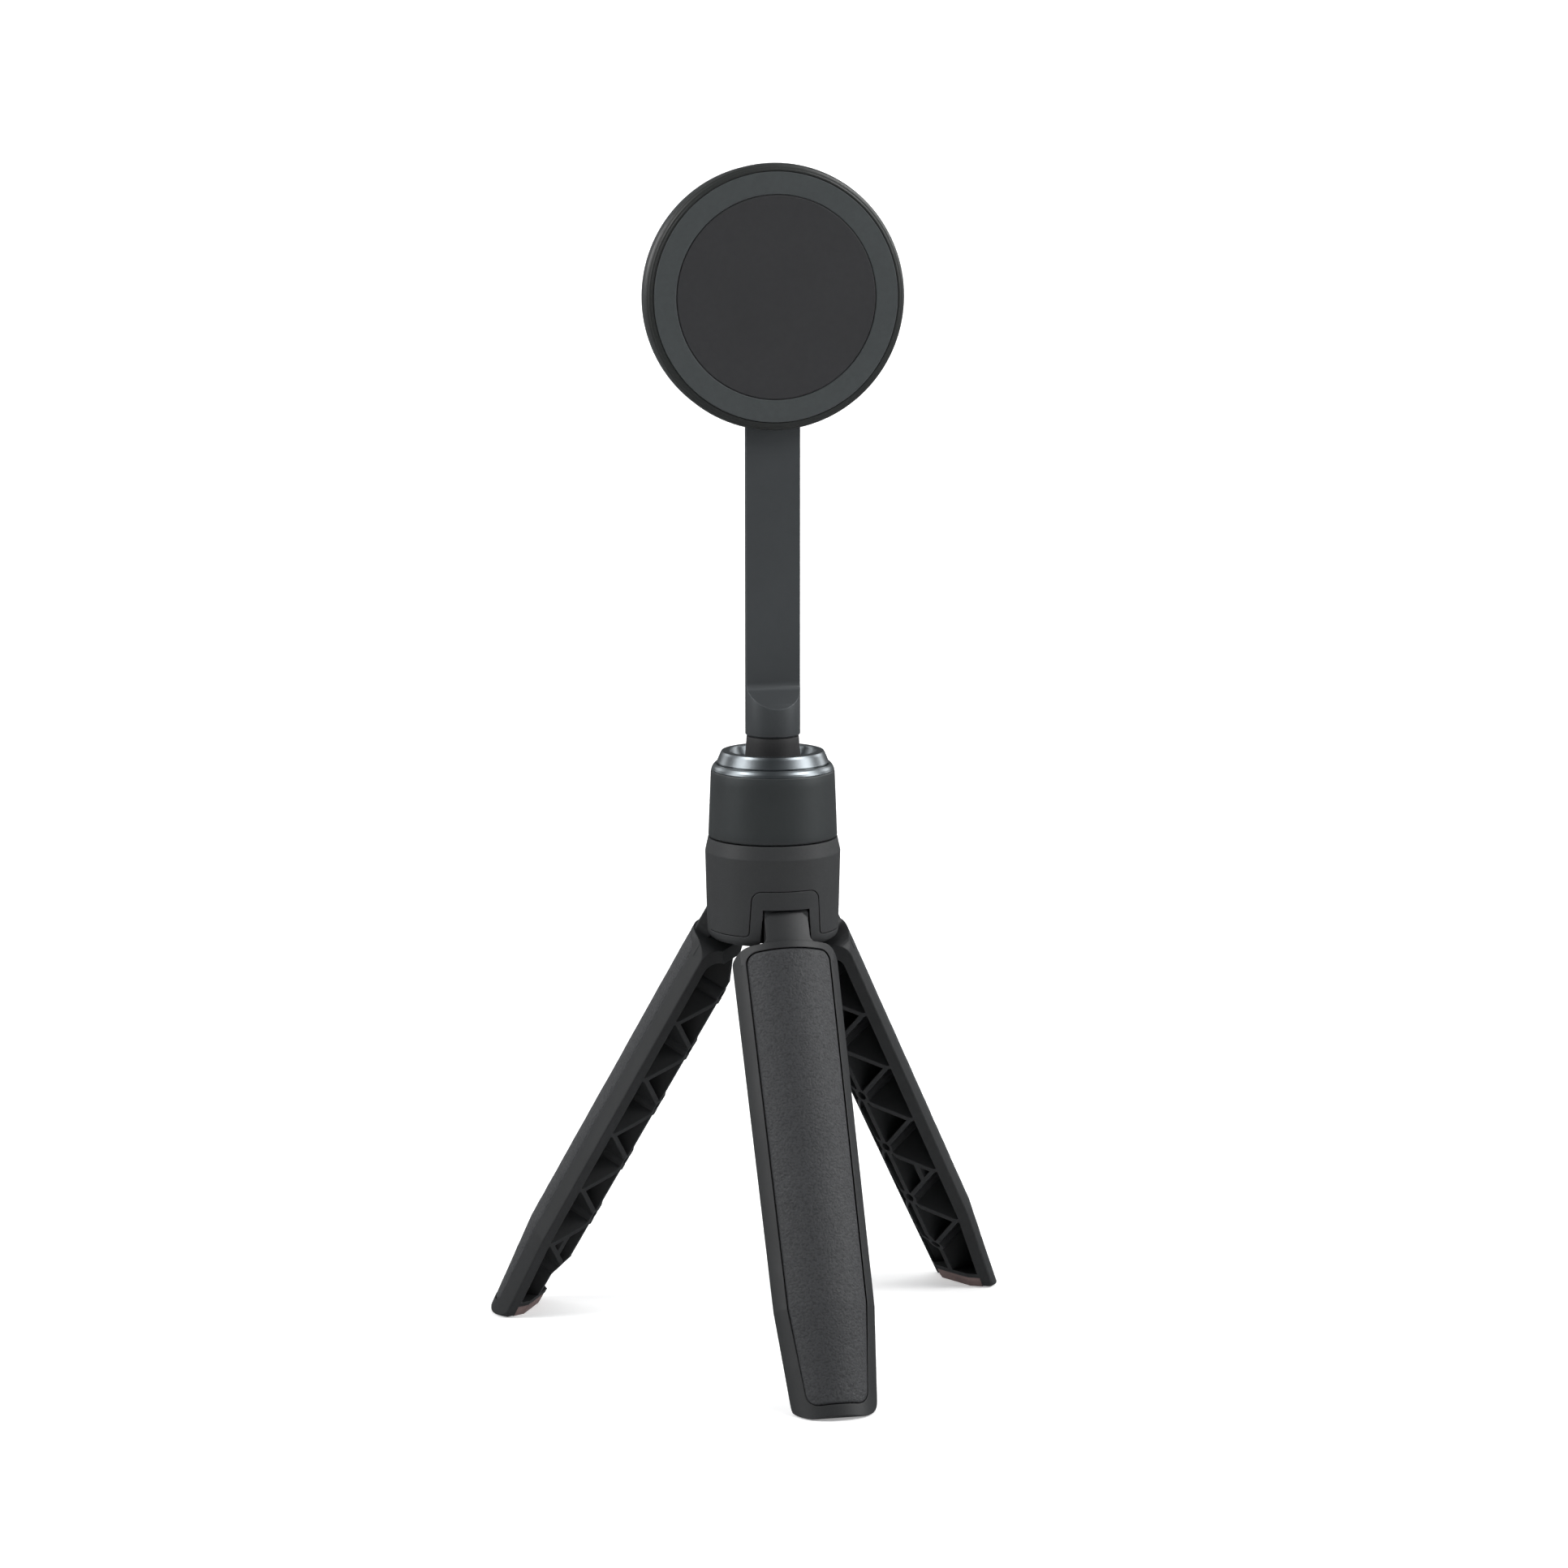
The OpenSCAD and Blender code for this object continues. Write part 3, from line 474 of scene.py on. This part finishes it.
def make_pad(name, turn, body, cad_node):
    """A padded leather skin, crowned at its rim and gently uneven, in place of the plain CAD pad."""
    hinge_z = (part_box("hinge_pins")[1].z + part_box("hinge_pins")[0].z) / 2 / MM
    top, end = TOP_S + PAD_TOP, FOOT_S - PAD_END
    rows = spaced(top, end, STEP, 3.0)
    cols = pad_columns()
    seed = Vector((turn * 37.0, 5.0, 11.0))
    bm = bmesh.new()
    grid = []
    back = []
    for s in rows:
        half = pad_half(s, top, end)
        line = []
        for c in cols:
            x = c * half
            near = min(half - abs(x), s - top, end - s)
            crown = -0.4 * math.exp(-near / 0.2) + 0.06
            where = Vector((x, s, 0.0)) + seed
            lumps = noise.noise(where * 0.3) * 0.05 + noise.noise(where * 1.1) * 0.03
            out = -0.03 + crown + (lumps - 0.02) * min(1.0, near / 0.8)
            line.append(bm.verts.new(leg_point(x, s, out, turn, hinge_z)))
        grid.append(line)
    for s in rows:
        half = pad_half(s, top, end)
        ends = (cols[0] * half, cols[-1] * half)
        back.append([bm.verts.new(leg_point(x, s, PAD_BACK, turn, hinge_z)) for x in ends])
    for i in range(len(rows) - 1):
        for j in range(len(cols) - 1):
            bm.faces.new((grid[i][j], grid[i][j + 1], grid[i + 1][j + 1], grid[i + 1][j]))
        bm.faces.new((grid[i][0], grid[i + 1][0], back[i + 1][0], back[i][0]))
        bm.faces.new((grid[i][-1], back[i][1], back[i + 1][1], grid[i + 1][-1]))
    # Closing faces at the top and at the foot
    for row in (0, -1):
        middle = bm.verts.new(leg_point(0.0, rows[row], PAD_BACK, turn, hinge_z))
        line = [back[row][0], middle, back[row][1]] + list(reversed(grid[row]))
        bm.faces.new(line if row == 0 else list(reversed(line)))
    bmesh.ops.recalc_face_normals(bm, faces=bm.faces)
    mesh = bpy.data.meshes.new(name)
    bm.to_mesh(mesh)
    bm.free()
    mesh.shade_smooth()
    mesh.materials.append(finishes["leather"])
    pad = bpy.data.objects.new(name, mesh)
    scene.collection.objects.link(pad)
    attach(pad, body)
    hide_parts(cad_node)


for turn, leg in enumerate(("front", "right", "left")):
    make_pad(leg + "_pad_skin", turn, leg + "_leg", leg + "_leg_pad")

# ---------- floor and light ----------


# The sweep in metres: its half width, where it starts and bends up, the bend's radius, and its height
SWEEP_HALF = 5.0
SWEEP_FRONT, SWEEP_BACK = -3.0, 2.2
SWEEP_BEND = 1.2
SWEEP_TOP = 4.5
BEND_STEPS = 15
# The floor lies this little below the soles, so the two never share a plane
FLOOR_GAP = 0.00001


def studio_floor():
    """A pale sweep: a flat floor that curves up far behind the object."""
    profile = [(SWEEP_FRONT, 0.0), (SWEEP_BACK, 0.0)]
    for i in range(1, BEND_STEPS + 1):
        a = math.radians(90 / BEND_STEPS * i)
        profile.append((SWEEP_BACK + SWEEP_BEND * math.sin(a), SWEEP_BEND - SWEEP_BEND * math.cos(a)))
    profile.append((SWEEP_BACK + SWEEP_BEND, SWEEP_TOP))
    bm = bmesh.new()
    turn = Matrix.Rotation(math.radians(-12.5), 3, "Z")
    lines = []
    for y, z in profile:
        lines.append([bm.verts.new(turn @ Vector((x, y, z - FLOOR_GAP))) for x in (-SWEEP_HALF, SWEEP_HALF)])
    for a, b in zip(lines, lines[1:]):
        bm.faces.new((a[0], a[1], b[1], b[0]))
    mesh = bpy.data.meshes.new("studio_floor")
    bm.to_mesh(mesh)
    bm.free()
    mesh.shade_smooth()
    m = Nodes("studio_floor")
    paper = m.noise(0.4, 2.0)
    m.set(color=m.mix(paper, (0.86, 0.86, 0.86, 1.0), (0.9, 0.9, 0.9, 1.0)), rough=0.9, specular=0.1)
    m.bsdf.inputs["Emission Color"].default_value = (1.0, 1.0, 1.0, 1.0)
    m.bsdf.inputs["Emission Strength"].default_value = 0.3
    mesh.materials.append(m.mat)
    floor = bpy.data.objects.new("studio_floor", mesh)
    # Without its mirror image in the part, whose grazing edges would turn white
    floor.visible_glossy = False
    scene.collection.objects.link(floor)


def area_light(name, place, target, size, power):
    """A rectangular light at place that faces target, size metres wide and high, power in watts."""
    data = bpy.data.lights.new(name, "AREA")
    data.shape = "RECTANGLE"
    data.size, data.size_y = size
    data.energy = power
    light = bpy.data.objects.new(name, data)
    light.location = place
    light.rotation_euler = (Vector(target) - Vector(place)).to_track_quat("-Z", "Y").to_euler()
    scene.collection.objects.link(light)


MIDDLE = Vector((0.0, 0.015, 0.13))


def softbox(name, azimuth, elevation, distance, size, power):
    """A softbox that faces the object's middle, azimuth degrees to the right of the camera."""
    view = math.atan2(camera.location.x, -camera.location.y) + math.radians(azimuth)
    up = math.radians(elevation)
    way = Vector((math.sin(view) * math.cos(up), -math.cos(view) * math.cos(up), math.sin(up)))
    area_light(name, MIDDLE + way * distance, MIDDLE, size, power)


def studio_world():
    """Weak even light from all sides, with pale walls where the camera sees past the floor's edge."""
    world = bpy.data.worlds.new("studio")
    world.use_nodes = True
    tree = world.node_tree
    soft = tree.nodes["Background"]
    soft.inputs["Color"].default_value = (0.92, 0.96, 1.0, 1.0)
    soft.inputs["Strength"].default_value = 0.14
    walls = tree.nodes.new("ShaderNodeBackground")
    walls.inputs["Color"].default_value = (0.86, 0.87, 0.88, 1.0)
    seen = tree.nodes.new("ShaderNodeLightPath")
    either = tree.nodes.new("ShaderNodeMixShader")
    tree.links.new(seen.outputs["Is Camera Ray"], either.inputs[0])
    tree.links.new(soft.outputs[0], either.inputs[1])
    tree.links.new(walls.outputs[0], either.inputs[2])
    tree.links.new(either.outputs[0], tree.nodes["World Output"].inputs["Surface"])
    scene.world = world


studio_floor()
softbox("key_left", -76, 27, 1.2, (0.5, 0.9), 7.0)
softbox("key_right", 80, 27, 1.2, (0.45, 0.9), 9.0)
softbox("high_left", -66, 46, 1.3, (0.35, 0.5), 5.5)
softbox("high_right", 66, 46, 1.3, (0.35, 0.5), 6.0)
softbox("rim_left", -128, 20, 1.3, (0.35, 0.5), 2.0)
softbox("rim_right", 128, 20, 1.3, (0.35, 0.5), 3.0)
area_light("backdrop", (0.4, 1.3, 2.4), (0.7, 3.3, 0.9), (4.0, 0.6), 90.0)
studio_world()
scene.view_settings.view_transform = "Standard"

bpy.context.view_layer.update()
